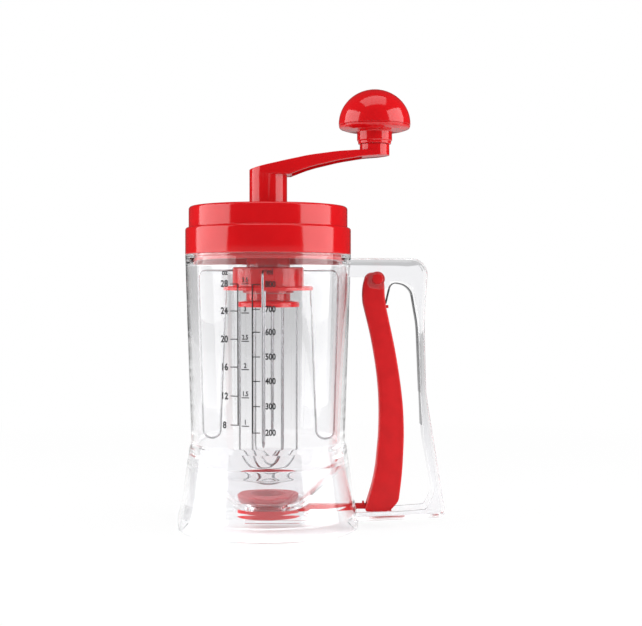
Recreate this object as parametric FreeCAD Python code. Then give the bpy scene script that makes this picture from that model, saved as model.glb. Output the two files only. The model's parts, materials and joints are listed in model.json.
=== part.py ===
# Pancake batter dispenser with a crank mixer in its lid and a trigger valve in its base.
# Millimetres. Z is up, X points to the handle and the base rim stands on Z = 0. Pieces are drawn
# round the barrel axis, then moved so that the origin lies under the middle of the whole object.
import FreeCAD, Part
import math
import os

V = FreeCAD.Vector

# Degrees times millimetres of a round corner that one chord of a revolved profile stands for
chord_sweep = 300.0

# Barrel, neck and hopper of the clear container
barrel_top_z = 168.3
barrel_top_r = 51.2
waist_z = 55.0
waist_r = 47.4
wall = 2.5
neck_r = 49.2
neck_wall = 2.1
neck_top_z = 181.0
hopper_slope = 0.9
hopper_corner_r = 12.0
floor_top_z = 18.0
floor_r = 22.0
flange_r = 22.2
flange_bottom_z = 12.8
flange_height = 2.2
crotch_r = 1.5

# Skirt that the container stands on
base_r = 55.7
skirt_top_r = 48.3
skirt_top_z = 50.0
skirt_low_r = 53.5
skirt_low_z = 15.0
rim_height = 8.5
skirt_wall = 2.4

# Outlet seal and sliding valve
outlet_r = 11.0
seal_r = 19.0
seal_height = 2.9
seal_neck_r = 13.5
seal_gap = 0.1
disc_r = 19.0
disc_height = 4.2
slide_gap = 0.2
rail_gap = 0.3
rail_wall = 2.0
rail_lip = 2.2
rail_lip_height = 1.5
rail_back_x = 13.0
rail_front_x = 26.0

# Flat rod from the valve to the trigger
rod_width = 7.0
rod_height = 2.5
rod_rise = 1.5
rod_tongue = 11.0
rod_step_x = 24.0
rod_head_x = 62.3
rod_head_length = 3.0
rod_head_width = 11.6
rod_head_height = 4.4
rod_slot_gap = 0.6
stop_ridge_x = 58.2
stop_ridge_length = 1.2

# Lid, gasket and the hub neck that hangs under it
lid_r = 51.2
lid_upper_r = 49.1
lid_step_z = 185.0
lid_top_z = 198.0
lid_wall = 1.7
lid_top_wall = 2.8
lid_edge_r = 1.5
plug_r = 46.8
plug_wall = 2.0
plug_bottom_z = 165.0
gasket_gap = 0.1
hub_neck_r = 13.5
hub_neck_wall = 2.5
hub_collar_r = 16.3
hub_collar_z = 160.8
hub_collar_height = 1.3
bush_r = 6.5
bush_height = 9.0

# Crank shaft and its running fits
shaft_r = 3.0
shaft_fit = 0.06
shaft_flat = 0.6
shaft_collar_r = 4.8
shaft_collar_height = 2.0
shaft_top_z = 216.0

# Crank arm and knob
boss_r = 11.7
boss_bottom_z = 198.3
boss_top_z = 221.4
arm_reach = 65.9
arm_end_r = 9.2
arm_end_bottom_z = 230.6
arm_end_top_z = 236.6
arm_shell = 2.2
knob_gap = 0.3
knob_stem_r = 10.25
knob_r = 22.2
knob_wide_z = 250.5
knob_side_arc = 14.0
knob_crown_steps = 6
knob_top_z = 270.8
knob_under_r = 19.4
knob_under_z = 247.6
knob_pin_r = 2.5
knob_pin_fit = 0.08
knob_pin_top_z = 256.0
knob_pin_head_r = 4.5
knob_pin_head_height = 1.6

# Gear train: sun on the shaft, planets under the fixed carrier, ring teeth in the drum
gear_module = 1.0
pressure_angle = math.radians(25.0)
sun_teeth = 12
planet_teeth = 12
ring_teeth = sun_teeth + 2 * planet_teeth
planet_count = 3
tooth_addendum = 0.85
tooth_dedendum = 1.1
tooth_play = 0.12
gear_bottom_z = 149.0
gear_height = 6.6
axial_gap = 0.3
planet_pin_r = 1.5
planet_pin_fit = 0.06
carrier_r = 16.9
carrier_height = 1.7
carrier_screw_r = 1.0
carrier_screw_circle_r = 12.25
screw_depth = 6.0

# Drum, outer beater and its wires
drum_r = 22.15
drum_cover_height = 1.6
drum_cover_gap = 0.3
beater_flange_r = 27.9
beater_flange_height = 2.6
beater_boss_r = 15.8
beater_boss_height = 1.7
outer_loops = 4
outer_loop_turn = -2.0
outer_wire_r = 0.6
wire_sides = 8
outer_wire_z = 157.4
outer_reach_top = 43.6
outer_reach_low = 41.0
outer_low_z = 53.5
outer_inner_low = 30.0
outer_inner_top = 26.3
outer_corner_r = 3.0
wire_seat = 1.5
wire_fit = 0.05

# Inner whisk
whisk_hub_r = 13.8
whisk_hub_height = 4.1
whisk_disc_r = 19.4
whisk_disc_height = 3.1
whisk_disc_dome = 1.1
whisk_loops = 3
whisk_reach = 17.7
whisk_wire_r = 0.6
whisk_low_z = 27.0
whisk_nesting = 2.8

# Handle, a channel that is open towards the barrel
handle_half_width = 12.0
handle_side_wall = 2.2
handle_outer_wall = 2.4
handle_root_x = 44.0
handle_top_z = 166.0
handle_bar_x = 96.2
handle_waist_z = 84.0
handle_foot_x = 109.2
handle_foot_z = 7.6
handle_root_z = 5.0
spring_seat_wall = 2.0
spring_seat_low_z = 128.0

# Trigger and its pivot
pivot_x = 67.2
pivot_z = 153.3
pivot_pin_r = 2.0
pivot_pin_fit = 0.08
pivot_head_r = 3.2
pivot_head_height = 0.8
trigger_half_width = 8.5
trigger_side_wall = 2.4
trigger_front_wall = 2.8
trigger_boss_r = 4.6
trigger_toe_x = 59.4
trigger_toe_z = 10.4
toe_wall = 2.2
toe_gap = 0.35
spring_ledge_height = 1.8
spring_gap = 0.3

# Leaf spring between the trigger and the handle
spring_width = 12.0
spring_thickness = 0.6

# Sizes that follow from the ones above
disc_top_z = flange_bottom_z - slide_gap
disc_bottom_z = disc_top_z - disc_height
rod_z = disc_top_z - rod_height
rod_out_z = rod_z + rod_rise
planet_circle_r = gear_module * (sun_teeth + planet_teeth) / 2
ring_pitch_r = gear_module * ring_teeth / 2
gear_top_z = gear_bottom_z + gear_height
carrier_z = gear_top_z + axial_gap
carrier_top_z = carrier_z + carrier_height
cover_z = carrier_top_z + drum_cover_gap
cover_top_z = cover_z + drum_cover_height
flange_top_z = gear_bottom_z - axial_gap - 0.7
flange_z = flange_top_z - beater_flange_height
beater_boss_z = flange_z - beater_boss_height
whisk_hub_top_z = beater_boss_z - axial_gap
whisk_hub_z = whisk_hub_top_z - whisk_hub_height
whisk_disc_z = whisk_hub_z - whisk_disc_dome - whisk_disc_height
barrel_taper = (barrel_top_r - waist_r) / (barrel_top_z - waist_z)


def unit(vector):
    return V(vector).normalize()


def rounded(corners, closed, chorded=False):
    """A wire through corners, each a point and the radius that rounds it.

    With chorded, each round corner is a few straight chords, which keeps a revolved shape light.
    """
    count = len(corners)
    ends = []
    for i, (point, radius) in enumerate(corners):
        if radius <= 0 or (not closed and i in (0, count - 1)):
            ends.append((point, None, point))
            continue
        to_last = unit(corners[i - 1][0] - point)
        to_next = unit(corners[(i + 1) % count][0] - point)
        half = to_last.getAngle(to_next) / 2
        cut = radius / math.tan(half)
        bisector = unit(to_last + to_next)
        middle = point + bisector * (radius / math.sin(half) - radius)
        ends.append((point + to_last * cut, middle, point + to_next * cut))
    edges = []
    for i, (first, middle, last) in enumerate(ends):
        if middle is not None:
            arc = Part.Arc(first, middle, last).toShape()
            if chorded:
                turn = math.degrees(arc.LastParameter - arc.FirstParameter)
                steps = max(1, round(turn * corners[i][1] / chord_sweep))
                points = arc.discretize(steps + 1)
                for start, end in zip(points, points[1:]):
                    edges.append(Part.LineSegment(start, end).toShape())
            else:
                edges.append(arc)
        if not closed and i == count - 1:
            break
        start = ends[(i + 1) % count][0]
        if (start - last).Length > 1e-6:
            edges.append(Part.LineSegment(last, start).toShape())
    return Part.Wire(edges)


def flat(corners):
    """Corners given as (x, z) or (x, z, radius) in the plane Y = 0."""
    return [(V(c[0], 0, c[1]), c[2] if len(c) > 2 else 0.0) for c in corners]


def face(corners, chorded=False):
    return Part.Face(rounded(flat(corners), True, chorded))


def revolved(corners):
    return face(corners, True).revolve(V(0, 0, 0), V(0, 0, 1), 360)


def slab(corners, half_width):
    profile = face(corners)
    profile.translate(V(0, -half_width, 0))
    return profile.extrude(V(0, 2 * half_width, 0))


def block(x0, x1, half_width, z0, z1):
    return Part.makeBox(x1 - x0, 2 * half_width, z1 - z0, V(x0, -half_width, z0))


def rod(radius, x, z0, z1, y=0.0):
    return Part.makeCylinder(radius, z1 - z0, V(x, y, z0))


def cross_rod(radius, x, z, half_width):
    return Part.makeCylinder(radius, 2 * half_width, V(x, -half_width, z), V(0, 1, 0))


def turned(shape, degrees):
    copy = shape.copy()
    copy.rotate(V(0, 0, 0), V(0, 0, 1), degrees)
    return copy


def shifted(corners, distance, closed):
    """The same outline moved sideways, to the left of its direction in the XZ plane."""
    points = [V(c[0], 0, c[1]) for c in corners]
    radii = [c[2] if len(c) > 2 else 0.0 for c in corners]
    count = len(points)
    moved = []
    for i in range(count):
        before = points[i] - points[i - 1] if closed or i > 0 else points[1] - points[0]
        after = points[(i + 1) % count] - points[i] if closed or i < count - 1 else before
        before = unit(before)
        after = unit(after)
        left_before = V(-before.z, 0, before.x)
        left_after = V(-after.z, 0, after.x)
        mitre = left_before + left_after
        mitre = mitre * (2 * distance / mitre.dot(mitre))
        turn = before.x * after.z - before.z * after.x
        radius = radii[i] - math.copysign(distance, turn) if radii[i] > 0 else 0.0
        place = points[i] + mitre
        moved.append((place.x, place.z, max(radius, 0.0)))
    return moved


def strip(corners, thickness, half_width):
    """A bent strip of even thickness along an open line of corners."""
    one_side = shifted(corners, thickness / 2, False)
    other_side = shifted(corners, -thickness / 2, False)
    return slab(one_side + other_side[::-1], half_width)


def wire_loop(corners, radius):
    """Wire swept along a rounded path in the plane Y = 0, with a many-sided section."""
    path = rounded(corners, False)
    start = path.Edges[0].Vertexes[0].Point
    direction = path.Edges[0].tangentAt(path.Edges[0].FirstParameter)
    across = V(0, 1, 0)
    upright = direction.cross(across)
    ring = []
    for k in range(wire_sides + 1):
        angle = 2 * math.pi * (k + 0.5) / wire_sides
        ring.append(start + across * (radius * math.cos(angle)) + upright * (radius * math.sin(angle)))
    return path.makePipeShell([Part.makePolygon(ring)], True, False)


def barrel_r_at(z):
    return waist_r + barrel_taper * (z - waist_z)


def involute(angle):
    return math.tan(angle) - angle


def gear_face(teeth, addendum, dedendum, play, turn, x=0.0, y=0.0):
    """Gear outline with involute flanks, each an arc through three points of the involute."""
    pitch_r = gear_module * teeth / 2
    base_circle = pitch_r * math.cos(pressure_angle)
    root_r = pitch_r - dedendum
    tip_r = pitch_r + addendum
    low_r = max(root_r, base_circle)
    half_pitch = math.pi / (2 * teeth) - play / (2 * pitch_r) + involute(pressure_angle)

    def at(radius, angle):
        return V(x + radius * math.cos(angle), y + radius * math.sin(angle), 0)

    def half_tooth(radius):
        return half_pitch - involute(math.acos(min(1.0, base_circle / radius)))

    edges = []
    step = 2 * math.pi / teeth
    for k in range(teeth):
        middle = turn + k * step
        radii = [low_r, (low_r + tip_r) / 2, tip_r]
        rising = [at(r, middle - half_tooth(r)) for r in radii]
        falling = [at(r, middle + half_tooth(r)) for r in radii[::-1]]
        if root_r < low_r - 1e-6:
            foot = at(root_r, middle - half_tooth(low_r))
            edges.append(Part.LineSegment(foot, rising[0]).toShape())
        edges.append(Part.Arc(*rising).toShape())
        edges.append(Part.Arc(rising[-1], at(tip_r, middle), falling[0]).toShape())
        edges.append(Part.Arc(*falling).toShape())
        last = falling[-1]
        if root_r < low_r - 1e-6:
            last = at(root_r, middle + half_tooth(low_r))
            edges.append(Part.LineSegment(falling[-1], last).toShape())
        start = at(root_r, middle + step - half_tooth(low_r))
        edges.append(Part.Arc(last, at(root_r, middle + step / 2), start).toShape())
    return Part.Face(Part.Wire(edges))


def raised(flat_face, z0, height):
    flat_face.translate(V(0, 0, z0))
    return flat_face.extrude(V(0, 0, height))


# Outer line of the skirt, from its top down to the rim
def skirt_outline(inset):
    return [
        (skirt_top_r - inset, skirt_top_z),
        (skirt_low_r - inset, skirt_low_z, 4.0),
        (base_r - inset, rim_height, 2.0),
        (base_r - inset, 0.0, 0.8 if inset == 0 else 0.0),
    ]


def container_envelope():
    """The container filled solid, used to seat the handle on its outside."""
    line = skirt_outline(0.0) + [(0.0, 0.0), (0.0, barrel_top_z)]
    line += [(barrel_top_r, barrel_top_z), (waist_r, waist_z, 3.0)]
    return revolved(line)


def hopper_cavity():
    """Space that holds the batter, from the hopper floor to the neck."""
    cone_top_r = barrel_r_at(floor_top_z) - wall
    cone_top_z = floor_top_z + (cone_top_r - floor_r) * hopper_slope
    return revolved([
        (0.0, floor_top_z),
        (floor_r, floor_top_z),
        (cone_top_r, cone_top_z, hopper_corner_r),
        (barrel_r_at(barrel_top_z - 6.0) - wall, barrel_top_z - 6.0),
        (neck_r - neck_wall, barrel_top_z - 3.0),
        (neck_r - neck_wall, neck_top_z + 1.0),
        (0.0, neck_top_z + 1.0),
    ])


def skirt_space():
    """Space inside the skirt, round the outside of the hopper."""
    flange_top_z = flange_bottom_z + flange_height
    inner = skirt_outline(skirt_wall)
    lean = (inner[1][0] - inner[0][0]) / (skirt_top_z - skirt_low_z)
    room = inner[1][0] + lean * (skirt_low_z - flange_top_z) - flange_r
    crotch_z = flange_top_z + room / (1 / hopper_slope + lean)
    crotch_x = flange_r + (crotch_z - flange_top_z) / hopper_slope
    return revolved([
        (0.0, -1.0),
        (0.0, flange_bottom_z),
        (flange_r, flange_bottom_z),
        (flange_r, flange_top_z),
        (crotch_x, crotch_z, crotch_r),
        inner[1],
        inner[2],
        (inner[3][0], -1.0),
    ])


def valve_rails():
    """Two ribs under the hopper floor with lips that carry the valve disc."""
    near = disc_r + rail_gap
    far = near + rail_wall
    low = disc_bottom_z - rail_gap - rail_lip_height
    high = floor_top_z - 1.0
    side = [
        (-rail_back_x, low),
        (rail_front_x, low),
        (rail_front_x, high + (rail_front_x - 8.0) * 0.55),
        (8.0, high),
        (-8.0, high),
        (-rail_back_x, high + 2.0),
    ]
    rib = slab(side, far).cut(slab(side, near))
    lip = block(-rail_back_x, rail_front_x, far, low, low + rail_lip_height)
    lip = lip.cut(block(-rail_back_x - 1.0, rail_front_x + 1.0, near - rail_lip, low - 1.0, high))
    return rib.fuse(lip)


def make_container():
    line = skirt_outline(0.0) + [(0.0, 0.0), (0.0, neck_top_z)]
    line += [(neck_r, neck_top_z), (neck_r, barrel_top_z)]
    line += [(barrel_top_r, barrel_top_z), (waist_r, waist_z, 3.0)]
    body = revolved(line)
    body = body.cut(skirt_space())
    body = body.fuse(valve_rails())
    body = body.cut(hopper_cavity())
    body = body.cut(rod(seal_neck_r + seal_gap, 0, flange_bottom_z - 1, floor_top_z + 1))
    slot_low = rod_out_z - rod_slot_gap
    slot_high = rod_out_z + rod_height + rod_slot_gap
    slot = block(40.0, base_r + 5, rod_width / 2 + rod_slot_gap, slot_low, slot_high)
    return body.cut(slot).removeSplitter()


def make_outlet_seal():
    low = disc_top_z + seal_gap
    return revolved([
        (outlet_r, low),
        (seal_neck_r, low),
        (seal_neck_r, floor_top_z + seal_gap),
        (seal_r, floor_top_z + seal_gap),
        (seal_r, floor_top_z + seal_gap + seal_height, 0.8),
        (outlet_r, floor_top_z + seal_gap + seal_height),
    ])


def make_valve_disc():
    disc = revolved([
        (0.0, disc_bottom_z),
        (disc_r, disc_bottom_z),
        (disc_r, disc_top_z),
        (0.0, disc_top_z),
    ])
    tongue = block(disc_r - rod_tongue, disc_r + 5, rod_width / 2 + 0.05, rod_z, disc_top_z + 5)
    return disc.cut(tongue)


def make_valve_rod():
    joggle = rod_rise * 1.4
    side = [
        (disc_r - rod_tongue, rod_z + 0.02),
        (rod_step_x, rod_z + 0.02),
        (rod_step_x + joggle, rod_out_z),
        (rod_head_x + 1.0, rod_out_z),
        (rod_head_x + 1.0, rod_out_z + rod_height),
        (rod_step_x + joggle - 1.0, rod_out_z + rod_height),
        (rod_step_x - 1.0, disc_top_z),
        (disc_r - rod_tongue, disc_top_z),
    ]
    bar = slab(side, rod_width / 2)
    head_z = rod_out_z + (rod_height - rod_head_height) / 2
    head = block(rod_head_x, rod_head_x + rod_head_length, rod_head_width / 2, head_z, head_z + rod_head_height)
    ridge_top = rod_out_z + rod_height + 1.4
    ridge = block(stop_ridge_x, stop_ridge_x + stop_ridge_length, rod_width / 2, rod_out_z + 1.0, ridge_top)
    return bar.fuse([head, ridge]).removeSplitter()


def make_lid():
    inner_r = lid_r - lid_wall
    under_top = lid_top_z - lid_top_wall
    under_step = lid_step_z - 2.0
    skirt = revolved([
        (inner_r, barrel_top_z + gasket_gap),
        (lid_r, barrel_top_z + gasket_gap),
        (lid_r, lid_step_z, 0.8),
        (lid_upper_r, lid_step_z),
        (lid_upper_r, lid_top_z, lid_edge_r),
        (shaft_r + shaft_fit, lid_top_z),
        (shaft_r + shaft_fit, lid_top_z - bush_height),
        (bush_r, lid_top_z - bush_height),
        (bush_r, under_top),
        (hub_neck_r - hub_neck_wall, under_top),
        (hub_neck_r - hub_neck_wall, carrier_top_z),
        (hub_neck_r, carrier_top_z),
        (hub_neck_r, hub_collar_z),
        (hub_collar_r, hub_collar_z),
        (hub_collar_r, hub_collar_z + hub_collar_height),
        (hub_neck_r, hub_collar_z + hub_collar_height),
        (hub_neck_r, under_top),
        (plug_r - plug_wall, under_top),
        (plug_r - plug_wall, plug_bottom_z),
        (plug_r, plug_bottom_z),
        (plug_r, under_step),
        (inner_r, under_step),
    ])
    for x, y in screw_places():
        pilot = rod(carrier_screw_r + wire_fit, x, carrier_top_z - 1, carrier_top_z + screw_depth + 0.3, y)
        skirt = skirt.cut(pilot)
    return skirt


def make_lid_gasket():
    z0 = neck_top_z + gasket_gap
    z1 = lid_step_z - 2.0 - gasket_gap
    return revolved([
        (plug_r + gasket_gap, z0),
        (neck_r, z0),
        (neck_r, z1),
        (plug_r + gasket_gap, z1),
    ])


def planet_places():
    for i in range(planet_count):
        angle = 2 * math.pi * i / planet_count
        yield planet_circle_r * math.cos(angle), planet_circle_r * math.sin(angle)


def screw_places():
    for i in range(planet_count):
        angle = 2 * math.pi * (i + 0.5) / planet_count
        yield carrier_screw_circle_r * math.cos(angle), carrier_screw_circle_r * math.sin(angle)


def make_gear_carrier():
    plate = rod(carrier_r, 0, carrier_z, carrier_top_z)
    plate = plate.cut(rod(shaft_r + 0.3, 0, carrier_z - 1, carrier_top_z + 1))
    for x, y in planet_places():
        plate = plate.fuse(rod(planet_pin_r, x, gear_bottom_z, carrier_z + 0.5, y))
        plate = plate.fuse(rod(planet_pin_r + 1.0, x, carrier_z - axial_gap / 2, carrier_z + 0.5, y))
    for x, y in screw_places():
        plate = plate.cut(rod(carrier_screw_r + wire_fit, x, carrier_z - 1, carrier_top_z + 1, y))
    return plate.removeSplitter()


def make_carrier_screws():
    screws = []
    for x, y in screw_places():
        head = rod(2 * carrier_screw_r, x, carrier_z - 0.8, carrier_z - 0.02, y)
        shank = rod(carrier_screw_r, x, carrier_z - 0.1, carrier_top_z + screw_depth, y)
        screws.append(head.fuse(shank).removeSplitter())
    return Part.makeCompound(screws)


def make_planet(x, y):
    turn = math.pi / planet_teeth
    blank = gear_face(planet_teeth, tooth_addendum, tooth_dedendum, tooth_play, turn, x, y)
    gear = raised(blank, gear_bottom_z, gear_height - axial_gap / 2)
    return gear.cut(rod(planet_pin_r + planet_pin_fit, x, gear_bottom_z - 1, gear_top_z + 1, y))


def shaft_section(z0, z1, clearance):
    """Round shaft with one flat, which drives the sun, the whisk hub and the crank."""
    core = rod(shaft_r + clearance, 0, z0, z1)
    edge = shaft_r - shaft_flat + clearance
    return core.cut(block(edge, edge + 5, 10.0, z0 - 1, z1 + 1))


def make_sun_gear():
    blank = gear_face(sun_teeth, tooth_addendum, tooth_dedendum, tooth_play, 0.0)
    gear = raised(blank, gear_bottom_z, gear_height)
    return gear.cut(shaft_section(gear_bottom_z - 1, gear_top_z + 1, wire_fit))


def make_crank_shaft():
    low = whisk_disc_z + 0.6
    lower = shaft_section(low, carrier_z - 0.1, 0.0)
    middle = rod(shaft_r, 0, carrier_z - 0.1, boss_bottom_z + 0.5)
    upper = shaft_section(boss_bottom_z + 0.5, shaft_top_z, 0.0)
    collar_z = carrier_top_z + axial_gap
    collar = rod(shaft_collar_r, 0, collar_z, collar_z + shaft_collar_height)
    return lower.fuse([middle, upper, collar]).removeSplitter()


def arm_plan(boss_radius, end_radius, z0, z1):
    """Plan of the arm: two discs and the tangent flanks between them."""
    lean = math.asin((boss_radius - end_radius) / arm_reach)
    corners = []
    for radius, x in ((boss_radius, 0.0), (end_radius, arm_reach)):
        corners.append((x + radius * math.sin(lean), radius * math.cos(lean)))
    outline = [(x, -y) for x, y in corners] + [(x, y) for x, y in corners[::-1]]
    points = [V(x, y, z0) for x, y in outline]
    web = Part.Face(Part.makePolygon(points + points[:1])).extrude(V(0, 0, z1 - z0))
    ends = [rod(boss_radius, 0, z0, z1), rod(end_radius, arm_reach, z0, z1)]
    return web.fuse(ends).removeSplitter()


def make_crank_arm():
    tall = boss_r + 2
    far = arm_reach + arm_end_r + 2
    top_line = [
        (-tall, boss_top_z - 1.0),
        (-boss_r + 1.5, boss_top_z, 2.0),
        (11.0, 226.6, 40.0),
        (42.0, 232.4, 60.0),
        (far, 234.0),
    ]
    under_line = [
        (far, arm_end_bottom_z),
        (57.0, arm_end_bottom_z, 20.0),
        (16.0, 220.0, 8.0),
        (boss_r, 214.0),
    ]
    side = top_line + under_line + [(boss_r, boss_bottom_z), (-tall, boss_bottom_z)]
    arm = slab(side, tall).common(arm_plan(boss_r, arm_end_r, boss_bottom_z - 1, 250.0))
    hollow_top = shifted(top_line[2:], -arm_shell - 0.4, False)
    hollow = hollow_top + [(far, arm_end_bottom_z - 9), (boss_r, 200.0)]
    pocket = slab(hollow, tall).common(arm_plan(boss_r - arm_shell, arm_end_r - arm_shell, 190.0, 250.0))
    pocket = pocket.cut(rod(boss_r + 1.5, 0, 190.0, 250.0))
    pocket = pocket.cut(rod(knob_pin_head_r + 1.6, arm_reach, 190.0, 250.0))
    arm = arm.cut(pocket)
    post = rod(arm_end_r, arm_reach, arm_end_bottom_z + 1.0, arm_end_top_z)
    arm = arm.fuse(post).removeSplitter()
    arm = arm.cut(shaft_section(boss_bottom_z - 1, shaft_top_z + 0.2, wire_fit))
    arm = arm.cut(rod(knob_pin_r + wire_fit, arm_reach, 190.0, 250.0))
    recess = rod(knob_pin_head_r + 0.1, arm_reach, 190.0, arm_end_bottom_z + knob_pin_head_height)
    return arm.cut(recess).removeSplitter()


def make_knob():
    """Mushroom knob: a crown arc and a side arc that meet at a common tangent."""
    stem_z = arm_end_top_z + knob_gap
    bore = knob_pin_r + knob_pin_fit
    side_x = knob_r - knob_side_arc
    rise = knob_top_z - knob_wide_z
    crown_arc = (side_x ** 2 + rise ** 2 - knob_side_arc ** 2) / (2 * (rise - knob_side_arc))
    crown_z = knob_top_z - crown_arc
    join = math.atan2(knob_wide_z - crown_z, side_x)
    profile = [
        (0.0, knob_pin_top_z + knob_gap),
        (bore, knob_pin_top_z + knob_gap),
        (bore, stem_z),
        (knob_stem_r, stem_z),
        (knob_stem_r, knob_under_z - 2.4),
        (knob_under_r, knob_under_z),
        (knob_r, knob_under_z + 0.6, 1.2),
        (knob_r, knob_wide_z),
    ]
    for k in range(knob_crown_steps + 1):
        angle = join + (math.pi / 2 - join) * k / knob_crown_steps
        profile.append((crown_arc * math.cos(angle), crown_z + crown_arc * math.sin(angle)))
    profile[-1] = (0.0, knob_top_z)
    solid = revolved(profile)
    solid.translate(V(arm_reach, 0, 0))
    return solid


def make_knob_pin():
    shank = rod(knob_pin_r, arm_reach, arm_end_bottom_z + 0.2, knob_pin_top_z)
    head = rod(knob_pin_head_r, arm_reach, arm_end_bottom_z, arm_end_bottom_z + knob_pin_head_height - 0.02)
    return shank.fuse(head).removeSplitter()


def outer_wire_end():
    return drum_r - wire_seat


def make_ring_drum():
    body = rod(drum_r, 0, flange_top_z, cover_z)
    ring_cut = gear_face(ring_teeth, tooth_dedendum, tooth_addendum, -tooth_play, math.pi / ring_teeth)
    body = body.cut(raised(ring_cut, flange_top_z - 1, gear_top_z - flange_top_z + 1))
    body = body.cut(rod(ring_pitch_r + tooth_dedendum, 0, gear_top_z, cover_z + 1))
    reach = drum_r + 5
    for i in range(outer_loops):
        hole = Part.makeCylinder(outer_wire_r + wire_fit, reach, V(outer_wire_end(), 0, outer_wire_z), V(1, 0, 0))
        body = body.cut(turned(hole, outer_loop_turn + 360.0 * i / outer_loops))
    return body.removeSplitter()


def make_drum_cover():
    opening = hub_neck_r + drum_cover_gap
    return revolved([
        (opening, cover_z),
        (drum_r, cover_z),
        (drum_r, cover_top_z, 0.7),
        (opening, cover_top_z),
    ])


def make_beater_flange():
    bore = shaft_r + 0.3
    plate = revolved([
        (bore, beater_boss_z),
        (beater_boss_r, beater_boss_z),
        (beater_boss_r, flange_z),
        (beater_flange_r, flange_z),
        (beater_flange_r, flange_top_z, 0.8),
        (bore, flange_top_z),
    ])
    for i in range(outer_loops):
        hole = rod(outer_wire_r + wire_fit, outer_inner_top, flange_z - 1, flange_top_z - 0.6)
        plate = plate.cut(turned(hole, outer_loop_turn + 360.0 * i / outer_loops))
    return plate


def make_outer_loop(index):
    bend = (outer_reach_low - outer_inner_low) / 2
    path = [
        (outer_wire_end() + 0.1, outer_wire_z),
        (outer_reach_top, outer_wire_z, outer_corner_r),
        (outer_reach_low, outer_low_z, bend - 0.1),
        (outer_inner_low, outer_low_z, bend - 0.1),
        (outer_inner_top, flange_z + 1.9),
    ]
    loop = wire_loop(flat(path), outer_wire_r)
    return turned(loop, outer_loop_turn + 360.0 * index / outer_loops)


def make_whisk_hub():
    hub = revolved([
        (0.0, whisk_hub_z),
        (whisk_hub_r, whisk_hub_z),
        (whisk_hub_r, whisk_hub_top_z),
        (0.0, whisk_hub_top_z),
    ])
    return hub.cut(shaft_section(whisk_hub_z - 1, whisk_hub_top_z + 1, wire_fit))


def whisk_turn(index):
    return 180.0 * index / whisk_loops


def whisk_top_z():
    return whisk_disc_z + whisk_disc_height - 0.6


def make_whisk_disc():
    edge_z = whisk_disc_z + whisk_disc_height
    disc = revolved([
        (0.0, whisk_disc_z),
        (whisk_disc_r, whisk_disc_z),
        (whisk_disc_r, edge_z, 0.8),
        (whisk_hub_r, whisk_hub_z),
        (0.0, whisk_hub_z),
    ])
    disc = disc.cut(shaft_section(whisk_disc_z + 0.5, whisk_hub_z + 1, wire_fit))
    for i in range(2 * whisk_loops):
        hole = rod(whisk_wire_r + wire_fit, whisk_reach, whisk_disc_z - 1, whisk_top_z() + 0.1)
        disc = disc.cut(turned(hole, whisk_turn(i)))
    return disc


def make_whisk_loop(index):
    low = whisk_low_z + whisk_nesting * index + whisk_wire_r
    bend = whisk_reach - 0.1
    path = [
        (whisk_reach, whisk_top_z()),
        (whisk_reach, low, bend),
        (-whisk_reach, low, bend),
        (-whisk_reach, whisk_top_z()),
    ]
    return turned(wire_loop(flat(path), whisk_wire_r), whisk_turn(index))


def handle_outline():
    """Outer contour of the handle, anticlockwise from the lower root."""
    return [
        (handle_root_x, handle_root_z),
        (56.0, handle_root_z, 30.0),
        (handle_foot_x, handle_foot_z, 4.0),
        (handle_bar_x + 0.8, handle_waist_z, 60.0),
        (handle_bar_x - 0.2, 130.0, 80.0),
        (handle_bar_x + 2.4, handle_top_z, 10.0),
        (handle_root_x, handle_top_z),
    ]


def handle_window():
    """Opening for the fingers, with an ear left round the trigger pivot."""
    ear = 6.2
    return [
        (handle_root_x - 5, 10.2),
        (80.0, 11.2),
        (97.2, 12.6, 2.5),
        (101.6, 22.0, 3.0),
        (95.6, 56.0, 40.0),
        (94.2, 76.0, 60.0),
        (92.6, 128.0, 40.0),
        (88.6, 152.4, 9.0),
        (pivot_x + ear + 2.0, 152.4, 2.0),
        (pivot_x + ear, pivot_z - ear, 4.0),
        (pivot_x - ear, pivot_z - ear, 4.0),
        (pivot_x - ear, 154.8, 1.0),
        (handle_root_x - 5, 154.8),
    ]


def spring_line():
    """Centre line of the leaf spring from the trigger's ledge to its free end."""
    return [
        (72.7, 138.2),
        (75.8, 151.6, 4.0),
        (87.8, 149.2, 9.0),
        (91.9, 125.0, 60.0),
        (93.5, 84.0, 60.0),
        (94.5, 63.6),
    ]


def make_handle():
    body = slab(handle_outline(), handle_half_width)
    body = body.cut(slab(handle_window(), handle_half_width + 1))
    inner_half = handle_half_width - handle_side_wall
    body = body.cut(slab(shifted(handle_outline(), handle_outer_wall, True), inner_half))
    seat_line = shifted(spring_line()[1:4], spring_thickness / 2 + spring_gap + spring_seat_wall / 2, False)
    seat = strip(seat_line, spring_seat_wall, inner_half + 0.5)
    seat = seat.common(slab(handle_outline(), inner_half + 0.5))
    below = block(0.0, handle_foot_x, handle_half_width, 0.0, spring_seat_low_z)
    body = body.fuse(seat.cut(below))
    body = body.cut(container_envelope())
    body = body.cut(cross_rod(pivot_pin_r + wire_fit, pivot_x, pivot_z, handle_half_width + 1))
    return body.removeSplitter()


def trigger_outline():
    """Side contour of the trigger, anticlockwise from the toe."""
    return [
        (trigger_toe_x, trigger_toe_z, 1.2),
        (74.6, trigger_toe_z, 6.0),
        (80.4, 16.8, 6.0),
        (82.6, 34.0, 60.0),
        (84.2, 66.0, 70.0),
        (80.2, 101.0, 60.0),
        (72.0, 139.5, 12.0),
        (71.6, 150.5, 4.0),
        (68.6, 157.3, 3.0),
        (60.6, 157.3, 3.0),
        (57.2, 144.0, 12.0),
        (66.0, 108.0, 70.0),
        (69.6, 70.0, 80.0),
        (65.9, 31.0, 40.0),
    ]


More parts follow.
